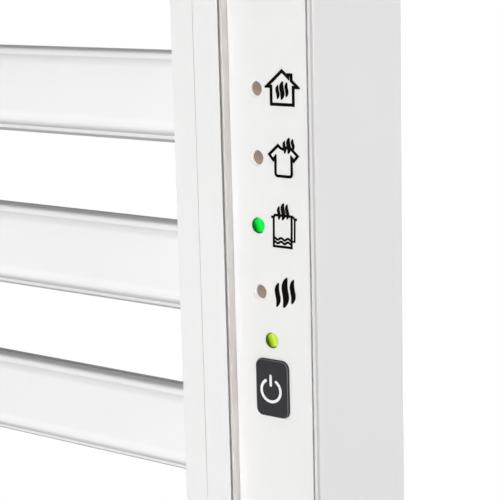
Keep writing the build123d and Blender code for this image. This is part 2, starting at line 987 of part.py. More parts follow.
with BuildPart() as bracket_bolts:
    with BuildSketch(front_plane(sleeve_floor)):
        with Locations(*bracket_places.values()):
            Circle(bolt_head_radius)
    extrude(amount=-bolt_head)
    with BuildSketch(front_plane(sleeve_floor)):
        with Locations(*bracket_places.values()):
            Circle(bolt_size / 2)
    extrude(amount=sleeve_floor - bolt_end)
save(bracket_bolts.part, "bracket_bolts")

with BuildPart() as fixing_nuts:
    with BuildSketch(front_plane(back_inner)):
        with Locations(*bracket_places.values()):
            Rectangle(nut_plate[0], nut_plate[2])
            Circle(bolt_size / 2 + screw_clearance, mode=Mode.SUBTRACT)
    extrude(amount=nut_plate[1])
save(fixing_nuts.part, "fixing_nuts")

grub_tip = foot_boss / 2 + grub_tip_gap
grub_length = sleeve_radius - grub_recess - grub_tip

with BuildPart() as grub_screws:
    for x, z in bracket_places.values():
        with BuildSketch(grub_plane(-grub_from_wall, z - grub_tip)):
            with Locations((x, 0)):
                Circle(grub_size / 2)
        extrude(amount=grub_length)
save(grub_screws.part, "grub_screws")
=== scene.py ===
"""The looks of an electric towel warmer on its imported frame: enamel, mouldings, lamps and symbols."""

import json
import math

import bmesh
import bpy
from mathutils import Matrix, Vector


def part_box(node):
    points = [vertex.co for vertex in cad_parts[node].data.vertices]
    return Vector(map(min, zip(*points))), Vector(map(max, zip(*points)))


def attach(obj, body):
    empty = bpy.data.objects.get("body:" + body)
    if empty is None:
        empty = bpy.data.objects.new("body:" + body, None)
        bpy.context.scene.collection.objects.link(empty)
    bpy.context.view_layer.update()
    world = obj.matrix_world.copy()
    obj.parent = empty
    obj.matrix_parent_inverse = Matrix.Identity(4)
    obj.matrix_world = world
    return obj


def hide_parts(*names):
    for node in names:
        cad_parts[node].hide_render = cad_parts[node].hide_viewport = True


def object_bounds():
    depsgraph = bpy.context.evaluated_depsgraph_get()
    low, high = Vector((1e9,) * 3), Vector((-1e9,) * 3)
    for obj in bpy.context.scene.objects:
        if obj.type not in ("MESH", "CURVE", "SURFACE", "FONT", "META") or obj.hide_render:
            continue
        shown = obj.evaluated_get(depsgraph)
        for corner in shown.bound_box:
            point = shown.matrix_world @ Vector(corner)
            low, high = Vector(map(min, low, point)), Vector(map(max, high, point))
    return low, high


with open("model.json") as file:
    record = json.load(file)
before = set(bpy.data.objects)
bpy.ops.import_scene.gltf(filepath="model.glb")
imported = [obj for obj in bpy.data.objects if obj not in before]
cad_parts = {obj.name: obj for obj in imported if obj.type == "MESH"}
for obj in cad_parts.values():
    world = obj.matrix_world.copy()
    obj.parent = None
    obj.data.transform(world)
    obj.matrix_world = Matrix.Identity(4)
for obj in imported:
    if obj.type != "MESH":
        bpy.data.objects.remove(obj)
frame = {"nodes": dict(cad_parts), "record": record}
cad_low, cad_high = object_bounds()
scene = bpy.context.scene
mm = 0.001


# The camera stands where the photograph was taken from
image_width = 500
focal_pixels = 1565
camera_place = Vector((502.9, -465.6, -197.1)) * mm
azimuth = math.radians(36.187)
elevation = math.radians(11.627)
roll = math.radians(-1.461)


def camera_axes():
    """Right, up and forward of the camera, turned by its azimuth, elevation and roll."""
    forward = Vector((
        -math.sin(azimuth) * math.cos(elevation),
        math.cos(azimuth) * math.cos(elevation),
        -math.sin(elevation),
    ))
    level_right = Vector((math.cos(azimuth), math.sin(azimuth), 0))
    level_up = level_right.cross(forward)
    right = level_right * math.cos(roll) + level_up * math.sin(roll)
    up = level_up * math.cos(roll) - level_right * math.sin(roll)
    return right, up, forward


def make_camera():
    """A camera that stands, looks and leans as the photograph's did."""
    data = bpy.data.cameras.new("camera")
    data.sensor_fit = "HORIZONTAL"
    data.sensor_width = 36
    data.lens = data.sensor_width * focal_pixels / image_width
    camera = bpy.data.objects.new("camera", data)
    right, up, forward = camera_axes()
    turned = Matrix((right, up, -forward)).transposed().to_4x4()
    camera.matrix_world = Matrix.Translation(camera_place) @ turned
    scene.collection.objects.link(camera)
    scene.camera = camera


make_camera()
scene.view_settings.view_transform = "Standard"


# Node helpers
def feed(tree, socket, value):
    """Links a value that is a socket, and sets one that is a number or a colour."""
    if isinstance(value, bpy.types.NodeSocket):
        tree.links.new(value, socket)
    else:
        socket.default_value = value


def set_inputs(tree, node, **inputs):
    """Feeds a node's inputs, by name with _ for a space."""
    for name, value in inputs.items():
        feed(tree, node.inputs[name.replace("_", " ")], value)
    return node


def add_node(tree, kind, **inputs):
    """A new node of that kind, with its inputs fed by name."""
    return set_inputs(tree, tree.nodes.new(kind), **inputs)


def rgb(red, green, blue):
    """The linear colour of an sRGB colour written in 0 to 255."""
    def linear(value):
        share = value / 255
        return share / 12.92 if share <= 0.04045 else ((share + 0.055) / 1.055) ** 2.4
    return (linear(red), linear(green), linear(blue), 1)


def maths(tree, operation, *values):
    """A maths node on numbers or sockets."""
    node = tree.nodes.new("ShaderNodeMath")
    node.operation = operation
    for socket, value in zip(node.inputs, values):
        feed(tree, socket, value)
    return node.outputs[0]


def ramp(tree, factor, *stops, smooth=False):
    """A colour ramp with stops given as (position, colour)."""
    node = add_node(tree, "ShaderNodeValToRGB", Fac=factor)
    node.color_ramp.interpolation = "EASE" if smooth else "LINEAR"
    elements = node.color_ramp.elements
    while len(elements) < len(stops):
        elements.new(0.5)
    for element, (position, colour) in zip(elements, stops):
        element.position = position
        element.color = colour
    return node.outputs["Color"]


def map_range(tree, value, low, high, to_low, to_high, smooth=False):
    """The value carried from one range to another, and held at its ends."""
    node = add_node(
        tree,
        "ShaderNodeMapRange",
        Value=value,
        From_Min=low,
        From_Max=high,
        To_Min=to_low,
        To_Max=to_high,
    )
    node.interpolation_type = "SMOOTHSTEP" if smooth else "LINEAR"
    return node.outputs["Result"]


def along_axis(tree, place, axis):
    """The X, Y or Z of a place."""
    return add_node(tree, "ShaderNodeSeparateXYZ", Vector=place).outputs[axis]


def distance_from(tree, place, centre):
    """How far a place lies from the centre."""
    node = add_node(tree, "ShaderNodeVectorMath", Vector=place)
    node.operation = "DISTANCE"
    node.inputs[1].default_value = centre
    return node.outputs["Value"]


def mix_shaders(tree, share, first, second):
    """The first shader, with that share of it given to the second."""
    node = tree.nodes.new("ShaderNodeMixShader")
    for socket, value in zip(node.inputs, (share, first, second)):
        tree.links.new(value, socket)
    return node.outputs[0]


def seen_directly(tree):
    """1 for the rays that show a background: from the camera, off a gloss, or through glass."""
    path = tree.nodes.new("ShaderNodeLightPath")
    glossy = maths(tree, "MAXIMUM", path.outputs["Is Camera Ray"], path.outputs["Is Glossy Ray"])
    return maths(tree, "MAXIMUM", glossy, path.outputs["Is Transmission Ray"])


# Light: a white room with a dim ceiling, and soft lamps all round, the brightest in front
room_light = (0.065, 0.065, 0.066, 1)

# The mirrored ceiling: how high it starts to dim and where it stops, as the upward share of a
# direction, and how much white it keeps
ceiling_start = 0.02
ceiling_end = 0.16
ceiling_white = 0.3


def make_world():
    """White where it is seen, less so overhead in mirrors, and a little light from every side."""
    world = bpy.data.worlds.new("studio")
    world.use_nodes = True
    tree = world.node_tree
    tree.nodes.clear()
    dim = add_node(tree, "ShaderNodeBackground", Color=room_light, Strength=1)
    direction = tree.nodes.new("ShaderNodeTexCoord").outputs["Generated"]
    height = along_axis(tree, direction, "Z")
    ceiling = map_range(tree, height, ceiling_start, ceiling_end, 1.0, ceiling_white, smooth=True)
    direct = tree.nodes.new("ShaderNodeLightPath").outputs["Is Camera Ray"]
    shown = maths(tree, "MAXIMUM", direct, ceiling)
    white = add_node(tree, "ShaderNodeBackground", Color=shown, Strength=1)
    mixed = mix_shaders(tree, seen_directly(tree), dim.outputs[0], white.outputs[0])
    add_node(tree, "ShaderNodeOutputWorld", Surface=mixed)
    scene.world = world


def add_lamp(
    name, degrees_round, degrees_up, distance, size, brightness, tint=(1, 1, 1), mirrored=True
):
    """A square soft lamp that faces the object. A brightness of 1 alone shows colours as written."""
    data = bpy.data.lights.new(name, "AREA")
    data.size = size
    data.energy = brightness * math.pi * math.pi * distance ** 2
    data.color = tint
    lamp = bpy.data.objects.new(name, data)
    lamp.visible_glossy = mirrored
    around, up = math.radians(degrees_round), math.radians(degrees_up)
    away = Vector((
        math.sin(around) * math.cos(up),
        -math.cos(around) * math.cos(up),
        math.sin(up),
    ))
    lamp.location = away * distance
    lamp.rotation_mode = "QUATERNION"
    lamp.rotation_quaternion = away.to_track_quat("Z", "Y")
    scene.collection.objects.link(lamp)


make_world()

# Each lamp's degrees round and up, its distance and size in metres, and its brightness. The front
# lamp has no mirror image, which would burn the pale fronts out to white. The rear lamp reaches the
# bars' top faces, which the bars above them shade from the top lamp.
add_lamp("front_lamp", 8, -8, 3.0, 1.1, 0.76, mirrored=False)
add_lamp("right_lamp", 96, -8, 3.0, 1.0, 0.53, (1, 0.98, 0.99))
add_lamp("left_lamp", -96, -8, 3.0, 1.0, 0.32)
add_lamp("back_lamp", 184, -14, 2.2, 1.0, 0.45)
add_lamp("top_lamp", 0, 90, 2.2, 0.5, 0.35)
add_lamp("rear_lamp", 180, 62, 2.4, 1.0, 0.14)


# Floor: pale and plain, with the object's shadow, and white far from the object. It lies well below
# the object, which hangs on a wall.
floor_drop = 750 * mm
floor_reach = 40
floor_grey = (0.6, 0.6, 0.6, 1)

# How it turns white: from and to in metres from its middle, and the share of white before that.
# The first holds for the camera, the second for mirrors as well.
white_in_view = (0.9, 1.8, 0.35)
white_anywhere = (1.2, 5.0, 0.3)


def floor_material():
    """Matt grey near the object, white farther off, and clear from below."""
    material = bpy.data.materials.new("floor")
    material.use_nodes = True
    tree = material.node_tree
    tree.nodes.clear()
    place = tree.nodes.new("ShaderNodeTexCoord").outputs["Object"]
    distance = distance_from(tree, place, (0, 0, 0))
    direct = tree.nodes.new("ShaderNodeLightPath").outputs["Is Camera Ray"]
    start, end, share = white_in_view
    in_view = map_range(tree, distance, start, end, share, 1.0, smooth=True)
    start, end, share = white_anywhere
    anywhere = map_range(tree, distance, start, end, share, 1.0)
    far = maths(tree, "MAXIMUM", maths(tree, "MULTIPLY", direct, in_view), anywhere)
    whiteness = maths(tree, "MULTIPLY", far, seen_directly(tree))
    matte = add_node(tree, "ShaderNodeBsdfDiffuse", Color=floor_grey)
    white = add_node(tree, "ShaderNodeEmission", Color=(1, 1, 1, 1), Strength=1)
    pale = mix_shaders(tree, whiteness, matte.outputs[0], white.outputs[0])
    clear = tree.nodes.new("ShaderNodeBsdfTransparent")
    from_below = tree.nodes.new("ShaderNodeNewGeometry").outputs["Backfacing"]
    surface = mix_shaders(tree, from_below, pale, clear.outputs[0])
    add_node(tree, "ShaderNodeOutputMaterial", Surface=surface)
    return material


def add_object(name, shape, finish):
    """An object with that finish from a bmesh, which is freed."""
    mesh = bpy.data.meshes.new(name)
    shape.to_mesh(mesh)
    shape.free()
    mesh.materials.append(finish)
    added = bpy.data.objects.new(name, mesh)
    scene.collection.objects.link(added)
    return added


def make_floor():
    """One large square for the pictures, which is no piece of the part."""
    shape = bmesh.new()
    bmesh.ops.create_grid(shape, x_segments=1, y_segments=1, size=floor_reach)
    floor = add_object("floor", shape, floor_material())
    middle = (cad_low + cad_high) / 2
    floor.location = (middle.x, middle.y, cad_low.z - floor_drop)


make_floor()


# Finishes
def open_finish(material):
    """A material's tree, its shader and the object's own coordinates, in metres."""
    tree = material.node_tree
    return tree, tree.nodes["Principled BSDF"], tree.nodes.new("ShaderNodeTexCoord").outputs["Object"]


def start_finish(name, roughness):
    """A new material, with its tree, its shader and the object's own coordinates."""
    material = bpy.data.materials.new(name)
    material.use_nodes = True
    tree, shader, place = open_finish(material)
    set_inputs(tree, shader, Roughness=roughness)
    return material, tree, shader, place


def noise(tree, place, size, detail=2.0):
    """A noise whose patches are about that size, in metres."""
    node = add_node(tree, "ShaderNodeTexNoise", Vector=place, Scale=1 / size, Detail=detail)
    return node.outputs["Fac"]


def add_bump(tree, shader, height, depth):
    """Relief of that depth, in metres."""
    node = add_node(tree, "ShaderNodeBump", Height=height, Distance=depth, Strength=1)
    set_inputs(tree, shader, Normal=node.outputs["Normal"])


# Where most of a noise's values lie
noise_span = (0.3, 0.7)


def vary_roughness(tree, shader, pattern, low, high):
    """The roughness wanders between low and high with the pattern of a noise."""
    set_inputs(tree, shader, Roughness=map_range(tree, pattern, *noise_span, low, high))


def shaded(colour, share):
    """The colour with that share of its brightness."""
    return [min(1, part * share) for part in colour[:3]] + [1]


def toned(tree, shader, mask, red, green, blue):
    """The base colour keeps those shares of its red, green and blue where the mask is 1."""
    share = add_node(
        tree, "ShaderNodeMixRGB", Fac=mask, Color1=(1, 1, 1, 1), Color2=(red, green, blue, 1)
    )
    colour = tree.nodes.new("ShaderNodeVectorMath")
    colour.operation = "MULTIPLY"
    tree.links.new(shader.inputs["Base Color"].links[0].from_socket, colour.inputs[0])
    tree.links.new(share.outputs["Color"], colour.inputs[1])
    tree.links.new(colour.outputs["Vector"], shader.inputs["Base Color"])


def between(tree, value, start, end, soft):
    """1 where the value lies between the start and the end, with soft borders."""
    rise = map_range(tree, value, start - soft / 2, start + soft / 2, 0, 1)
    fall = map_range(tree, value, end - soft / 2, end + soft / 2, 1, 0)
    return maths(tree, "MULTIPLY", rise, fall)


# Paint and plastic: the white of the columns, caps and brackets, how it all shines, the share by
# which its gloss drifts, the share of its colour in clouds, the share of its roughness in a coat,
# how deep light soaks into plastic, and the sizes of patches
pale_white = (0.87, 0.87, 0.865, 1)
shine = 0.35
gloss_drift = 0.08
cloud_share = 0.985
coat_share = 0.4
soaked = 1.2 * mm
paint_cloud = 60 * mm
paint_patch = 9 * mm
paint_ripple = 2.2 * mm
plastic_cloud = 25 * mm
plastic_patch = 4 * mm


def clouded(tree, place, size, colour, share):
    """The colour, with that share of its brightness in clouds of that size."""
    return ramp(tree, noise(tree, place, size), (0.35, shaded(colour, share)), (0.65, colour))


def drift_gloss(tree, shader, place, size, roughness):
    """The roughness drifts a little to both sides in patches of that size."""
    low, high = roughness * (1 - gloss_drift), roughness * (1 + gloss_drift)
    vary_roughness(tree, shader, noise(tree, place, size), low, high)


def painted(name, colour, roughness, coat, peel, form=None):
    """Enamel or powder coat: an even colour, slightly uneven gloss and the ripple of sprayed paint.

    The form, if any, is a function that gives a relief in millimetres for the ripple to lie on.
    """
    material, tree, shader, place = start_finish(name, roughness)
    set_inputs(
        tree,
        shader,
        Base_Color=clouded(tree, place, paint_cloud, colour, cloud_share),
        Specular_IOR_Level=shine,
        Coat_Weight=coat,
        Coat_Roughness=roughness * coat_share,
    )
    drift_gloss(tree, shader, place, paint_patch, roughness)
    relief = maths(tree, "MULTIPLY", noise(tree, place, paint_ripple, 0.0), peel)
    if form:
        relief = maths(tree, "ADD", relief, form(tree, place))
    add_bump(tree, shader, relief, mm)
    return material


def node_middle(node):
    """The middle of a CAD node's box."""
    low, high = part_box(node)
    return (low + high) / 2


# The control strip's plain front lies deeper than its lips, at the casing's cut front edge
lip_height = 3.1 * mm
strip_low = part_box("control_strip")[0]
button_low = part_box("power_button")[0]
strip_front = strip_low.y + lip_height


# The bars' front, in millimetres. It is slightly domed. A slope and a full upper rim follow it at a
# fine line, and the lower rim lies behind a hollow that deepens towards it. The starts and the end
# are heights from a bar's middle.
bar_low, bar_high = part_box("bar_01")
bar_corner = 5.4
bar_dome = 0.004
upper_rim_start = 12.4
upper_rim_slope = 0.15
upper_rim_radius = 2.0
hollow_start = 9.3
hollow_end = 12.15
hollow_depth = 0.6

# The finish deepens the form a little
sprayed_dome = 0.004
sprayed_hollow = 0.9


def up_from_bar_middle(tree, place):
    """Millimetres above the middle of the nearest bar: they repeat at an even pitch."""
    first = node_middle("bar_01").z
    pitch = node_middle("bar_02").z - first
    height = along_axis(tree, place, "Z")
    turns = maths(tree, "DIVIDE", maths(tree, "SUBTRACT", height, first), pitch)
    centred = maths(tree, "SUBTRACT", turns, maths(tree, "ROUND", turns))
    return maths(tree, "MULTIPLY", centred, pitch / mm)


def bar_relief(tree, place):
    """The finish's own relief in millimetres."""
    upward = up_from_bar_middle(tree, place)
    downward = maths(tree, "MULTIPLY", upward, -1)
    dome = maths(tree, "MULTIPLY", maths(tree, "MULTIPLY", upward, upward), -sprayed_dome)
    share = map_range(tree, downward, hollow_start, hollow_end, 0, 1)
    return maths(tree, "MULTIPLY_ADD", maths(tree, "MULTIPLY", share, share), -sprayed_hollow, dome)


# Painted shade and a painted highlight on the enamel: darker thin lines along both rims and in the
# hollow, and a paler band on the lower front. From and to in millimetres up from a bar's middle, and
# how softly, from and to in millimetres behind its front, and the share of the colour that is left
bar_painted_shading = (
    (14.2, 15.5, 0.6, -1.0, 3.0, 0.68),
    (12.0, 15.5, 0.6, 4.8, 13.0, 0.58),
    (-9.0, -7.2, 1.6, -1.0, 13.0, 1.045),
    (-12.1, -10.2, 0.8, -1.0, 13.0, 0.93),
    (-15.1, -13.5, 0.4, -1.0, 13.0, 0.45),
)

# How softly these tones change behind the front, in millimetres
tone_soft = 0.8


def bar_enamel():
    """The bars' glossy enamel, with painted shade in thin lines along both rims and in the hollow, and
    a painted highlight on the lower front.
    """
    colour = (0.9, 0.9, 0.9, 1)
    material = painted("bar_enamel", colour, roughness=0.2, coat=0.12, peel=0.003, form=bar_relief)
    tree, shader, place = open_finish(material)
    upward = up_from_bar_middle(tree, place)
    depth = along_axis(tree, place, "Y")
    behind = map_range(tree, depth, bar_low.y, bar_high.y, 0, (bar_high.y - bar_low.y) / mm)
    # Each band is painted shade, or a painted highlight where its share is above 1
    for bottom, top, soft, near, far, share in bar_painted_shading:
        upright = between(tree, upward, bottom, top, soft)
        along = between(tree, behind, near, far, tone_soft)
        toned(tree, shader, maths(tree, "MULTIPLY", upright, along), share, share, share)
    return material


# Painted shade on the casing's cut front edge: its width and the softness of its border, where it
# fades behind the strip's front, all in millimetres, and its tone
edge_width = 1.8
edge_soft = 0.2
edge_fade = (0.2, 0.7)
edge_painted_shade = (0.88, 0.86, 0.86)

# Painted shade lines along the casing's sharp corners: how far in from the side, at which depth and
# how wide, in millimetres, and the share of the colour that is left. A line's inner part has one tone.
corner_painted_shade_lines = (
    (0.4, -86.6, 0.6, 0.66),
    (0.0, -35.0, 1.3, 0.9),
)
inner_part = 0.4


def column_enamel():
    """The columns' finish, with painted shade on the casing's cut front edge and along its sharp
    corners.
    """
    material = painted("column_enamel", pale_white, roughness=0.34, coat=0.15, peel=0.003)
    tree, shader, place = open_finish(material)
    outward = maths(tree, "ABSOLUTE", along_axis(tree, place, "X"))
    depth = along_axis(tree, place, "Y")
    # Painted shade on the cut front edge
    edge_start = cad_high.x - edge_width * mm
    on_edge = map_range(tree, outward, edge_start, edge_start + edge_soft * mm, 0, 1)
    fade_start, fade_end = (strip_front + distance * mm for distance in edge_fade)
    at_front = map_range(tree, depth, fade_start, fade_end, 1, 0)
    toned(tree, shader, maths(tree, "MULTIPLY", on_edge, at_front), *edge_painted_shade)
    section = add_node(tree, "ShaderNodeCombineXYZ", X=outward, Y=depth, Z=0).outputs[0]
    # Painted shade lines along the sharp corners
    for inward, corner_depth, reach, share in corner_painted_shade_lines:
        corner = (cad_high.x - inward * mm, corner_depth * mm, 0)
        distance = distance_from(tree, section, corner)
        near = map_range(tree, distance, reach * inner_part * mm, reach * mm, 1, 0, smooth=True)
        toned(tree, shader, near, share, share, share)
    return material


def moulded(name, colour, roughness, grain, depth, share=cloud_share, clear=0.0):
    """Injection moulded plastic: a fine even grain and a faint drift of colour along the flow.

    The clearer it is, the more light soaks through its thin walls.
    """
    material, tree, shader, place = start_finish(name, roughness)
    set_inputs(
        tree,
        shader,
        Base_Color=clouded(tree, place, plastic_cloud, colour, share),
        Subsurface_Weight=clear,
        Subsurface_Radius=(1, 1, 1),
        Subsurface_Scale=soaked,
        Specular_IOR_Level=shine,
    )
    drift_gloss(tree, shader, place, plastic_patch, roughness)
    add_bump(tree, shader, noise(tree, place, grain, 3.0), depth)
    return material


# The control strip's lip beside the bars, with painted shade on its top and a painted warm reflection
# down its side: its width, the softness of its border, where its top ends and its side starts, and how
# softly, all in millimetres, and the tones of both
lip_width = 1.0
lip_soft = 0.2
lip_border = 0.05
lip_border_soft = 0.04
lip_top_painted_shade = (0.79, 0.75, 0.72)
lip_side_painted_reflection = (1.06, 0.99, 0.945)


def strip_plastic():
    """The control strip's plastic, with painted shade on top of its thin raised lip and a painted warm
    reflection down its side.
    """
    colour = (0.87, 0.868, 0.862, 1)
    material = moulded("strip_plastic", colour, 0.34, grain=0.3 * mm, depth=0.004 * mm, clear=0.5)
    tree, shader, place = open_finish(material)
    outward = maths(tree, "ABSOLUTE", along_axis(tree, place, "X"))
    depth = along_axis(tree, place, "Y")
    lip_end = strip_low.x + lip_width * mm
    on_lip = map_range(tree, outward, lip_end - lip_soft * mm, lip_end, 1, 0)
    border = lip_border * mm
    soft = lip_border_soft * mm
    top = between(tree, depth, strip_low.y - mm, strip_low.y + border, soft)
    side = between(tree, depth, strip_low.y + border, strip_front - border, soft)
    # Painted shade on the lip's top, and a painted warm reflection down its side
    toned(tree, shader, maths(tree, "MULTIPLY", on_lip, top), *lip_top_painted_shade)
    toned(tree, shader, maths(tree, "MULTIPLY", on_lip, side), *lip_side_painted_reflection)
    return material


# Painted light on a milky sleeve, which glows down the hole's shaded wall: from where the glow grows
# to where it is full, in millimetres behind the strip's front, and its strength
painted_glow_span = (0.1, 0.4)
painted_glow_strength = 0.55


def milky(name):
    """A milky sleeve in a lamp's hole, whose wall glows with painted light."""
    material, tree, shader, place = start_finish(name, 0.4)
    cloud = noise(tree, place, 1.5 * mm)
    shade = ramp(tree, cloud, (0.3, rgb(232, 231, 228)), (0.7, rgb(240, 239, 237)))
    depth = along_axis(tree, place, "Y")
    start, end = (strip_front + distance * mm for distance in painted_glow_span)
    # The sleeve's glow is painted light
    painted_glow = map_range(tree, depth, start, end, 0, painted_glow_strength, smooth=True)
    set_inputs(
        tree,
        shader,
        Base_Color=shade,
        Specular_IOR_Level=0.2,
        Emission_Color=shade,
        Emission_Strength=painted_glow,
    )
    add_bump(tree, shader, cloud, 0.01 * mm)
    return material


def zinc_plated(name):
    """Bright zinc over steel: pale spangle, a faint straw tint and a fine grain."""
    material, tree, shader, place = start_finish(name, 0.32)
    spangle = add_node(tree, "ShaderNodeTexVoronoi", Vector=place, Scale=1 / (2.5 * mm))
    tint = ramp(
        tree,
        spangle.outputs["Color"],
        (0.1, rgb(196, 198, 201)),
        (0.6, rgb(214, 214, 210)),
        (1, rgb(224, 220, 206)),
    )
    set_inputs(tree, shader, Base_Color=tint, Metallic=1)
    vary_roughness(tree, shader, noise(tree, place, 1.2 * mm), 0.26, 0.4)
    add_bump(tree, shader, noise(tree, place, 0.4 * mm), 0.006 * mm)
    return material


def lines_across(tree, place, spacing, distortion=0.0):
    """Even lines across the depth, at that spacing in metres."""
    scale = 1 / spacing / math.tau
    node = add_node(tree, "ShaderNodeTexWave", Vector=place, Scale=scale, Distortion=distortion)
    node.bands_direction = "Y"
    return node.outputs["Fac"]


def turned_brass(name):
    """Brass from the lathe: fine rings across the length and small dull patches."""
    material, tree, shader, place = start_finish(name, 0.25)
    patch = noise(tree, place, 1.5 * mm)
    tint = ramp(tree, patch, (0.35, rgb(196, 160, 84)), (0.7, rgb(222, 190, 112)))
    set_inputs(tree, shader, Base_Color=tint, Metallic=1)
    add_bump(tree, shader, lines_across(tree, place, 0.35 * mm), 0.01 * mm)
    return material


def solder_mask(name):
    """A circuit board: green mask with paler traces that run in straight lanes."""
    material, tree, shader, place = start_finish(name, 0.3)
    lanes = add_node(
        tree,
        "ShaderNodeTexBrick",
        Vector=place,
        Scale=1,
        Color1=rgb(20, 92, 52),
        Color2=rgb(24, 102, 58),
        Mortar=rgb(14, 74, 42),
        Mortar_Size=0.12 * mm,
        Brick_Width=7 * mm,
        Row_Height=0.9 * mm,
    )
    set_inputs(tree, shader, Base_Color=lanes.outputs["Color"])
    add_bump(tree, shader, lanes.outputs["Fac"], 0.02 * mm)
    return material


def laminated_iron(name):
    """A stack of varnished iron plates, seen as fine lines."""
    material, tree, shader, place = start_finish(name, 0.5)
    plates = lines_across(tree, place, 0.5 * mm, 0.4)
    tint = ramp(tree, plates, (0.2, rgb(62, 56, 50)), (0.8, rgb(112, 104, 94)))
    set_inputs(tree, shader, Base_Color=tint, Metallic=0.6)
    add_bump(tree, shader, plates, 0.05 * mm)
    return material


def rubbery(name, colour, ribs):
    """Silicone or sleeving: matt, with a soft bloom and a fine knit."""
    material, tree, shader, place = start_finish(name, 0.62)
    bloom = noise(tree, place, 6 * mm)
    shade = ramp(tree, bloom, (0.3, shaded(colour, 0.85)), (0.7, shaded(colour, 1.12)))
    set_inputs(tree, shader, Base_Color=shade)
    knit = add_node(tree, "ShaderNodeTexVoronoi", Vector=place, Scale=1 / ribs)
    add_bump(tree, shader, knit.outputs["Distance"], ribs * 0.12)
    return material


def unlit_guide(name):
    """A smoky light guide: pale brown in daylight, greyer towards its top."""
    material, tree, shader, place = start_finish(name, 0.3)
    whole = tree.nodes.new("ShaderNodeTexCoord").outputs["Generated"]
    upward = along_axis(tree, whole, "Z")
    mottle = maths(tree, "MULTIPLY_ADD", noise(tree, place, 1.8 * mm), 0.3, upward)
    tint = ramp(
        tree,
        mottle,
        (0.4, rgb(144, 129, 116)),
        (0.65, rgb(131, 115, 101)),
        (0.95, rgb(116, 111, 108)),
    )
    set_inputs(tree, shader, Base_Color=tint, Specular_IOR_Level=0.3)
    add_bump(tree, shader, noise(tree, place, 0.5 * mm), 0.01 * mm)
    return material


# A lit lens, whose glow has painted shade on its wall and towards its lower left: how far its glow
# slants with height, and in millimetres, where the glow starts and ends across it, how deep the painted
# shade on its wall goes, how deep its rim goes and where its halo starts and ends
glow_slant = 0.4
glow_across = (-2.2, 2.5)
wall_painted_shade = (0.25, 0.8)
rim_depth = (0.08, 0.12)
halo_across = (0.2, 1.4)


def lit_glow(name, centre, dark, middle, bright, far_side, halo):
    """A lit lens: its wall has painted shade, its floor shines, darker towards the lower left with
    painted shade, and its rim has a pale halo on the right.
    """
    material, tree, shader, place = start_finish(name, 0.45)

    def over(value, span, first, last, smooth=False):
        low, high = span
        return map_range(tree, value, low * mm, high * mm, first, last, smooth)

    across = maths(tree, "SUBTRACT", along_axis(tree, place, "X"), centre.x)
    upward = maths(tree, "SUBTRACT", along_axis(tree, place, "Z"), centre.z)
    depth = maths(tree, "SUBTRACT", along_axis(tree, place, "Y"), strip_front)
    slant = maths(tree, "ADD", across, maths(tree, "MULTIPLY", upward, glow_slant))
    mottle = maths(tree, "MULTIPLY_ADD", noise(tree, place, 1.2 * mm), 0.1 * mm, slant)
    stops = ((0.0, dark), (0.28, middle), (0.5, bright), (1.0, far_side))
    floor = ramp(tree, over(mottle, glow_across, 0, 1), *stops, smooth=True)
    # Painted shade: the wall stays dark, and the glow darkens towards the lower left
    past_wall = over(depth, wall_painted_shade, 0, 1, smooth=True)
    glow = add_node(tree, "ShaderNodeMixRGB", Fac=past_wall, Color1=dark, Color2=floor)
    at_mouth = over(depth, rim_depth, 1, 0)
    beside = over(slant, halo_across, 0, 1, smooth=True)
    rim = maths(tree, "MULTIPLY", at_mouth, beside)
    rimmed = add_node(tree, "ShaderNodeMixRGB", Fac=rim, Color1=glow.outputs["Color"], Color2=halo)
    set_inputs(
        tree,
        shader,
        Base_Color=(0.004, 0.01, 0.003, 1),
        Specular_IOR_Level=0.06,
        Emission_Color=rimmed.outputs["Color"],
        Emission_Strength=1,
    )
    add_bump(tree, shader, noise(tree, place, 0.4 * mm), 0.004 * mm)
    return material


def printed_ink(name, colour):
    """Screen printed ink: nearly even, a little thin in places, matt."""
    material, tree, shader, place = start_finish(name, 0.55)
    thin = noise(tree, place, 0.5 * mm, 4.0)
    light = [min(1, part * 1.35 + 0.004) for part in colour[:3]] + [1]
    shade = ramp(tree, thin, (0.45, colour), (0.85, light))
    set_inputs(tree, shader, Base_Color=shade, Specular_IOR_Level=0.04)
    add_bump(tree, shader, thin, 0.004 * mm)
    return material


# The button, in millimetres: where the painted highlight along its edge starts and ends behind its
# front and how softly, and how far its polished middle reaches
edge_highlight_span = (0.02, 0.22)
edge_highlight_soft = 0.04
polished = (2, 8)


def charcoal(name):
    """The button's charcoal plastic: a spark grain, polished in the middle, with a painted highlight
    along its edge.
    """
    material, tree, shader, place = start_finish(name, 0.42)
    grain = noise(tree, place, 0.18 * mm, 4.0)
    shade = ramp(tree, grain, (0.3, rgb(47, 47, 49)), (0.7, rgb(57, 57, 60)))
    # A painted highlight runs along the edge
    highlight_start, highlight_end = (button_low.y + distance * mm for distance in edge_highlight_span)
    painted_highlight = between(tree, along_axis(tree, place, "Y"), highlight_start, highlight_end, edge_highlight_soft * mm)
    edged = add_node(tree, "ShaderNodeMixRGB", Fac=painted_highlight, Color1=shade, Color2=rgb(108, 108, 112))
    offset = distance_from(tree, place, node_middle("power_button"))
    inner, outer = polished
    gloss = map_range(tree, offset, inner * mm, outer * mm, 0.36, 0.46, smooth=True)
    set_inputs(
        tree,
        shader,
        Base_Color=edged.outputs["Color"],
        Specular_IOR_Level=0.14,
        Roughness=gloss,
    )
    add_bump(tree, shader, grain, 0.012 * mm)
    return material


def guide_face(lamp):
    """The middle of a light guide's front face."""
    low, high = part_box("indicator_" + lamp)
    return Vector(((low.x + high.x) / 2, low.y, (low.z + high.z) / 2))


# The light of the lit lenses: painted shade on the wall, middle, bright part, far side and halo
green_glow = (
    rgb(8, 96, 30), rgb(2, 222, 46), rgb(4, 246, 78), rgb(24, 216, 112), rgb(188, 244, 214),
)
lime_glow = (
    rgb(70, 86, 10), rgb(174, 208, 36), rgb(208, 238, 84), rgb(200, 222, 96), rgb(226, 238, 190),
)

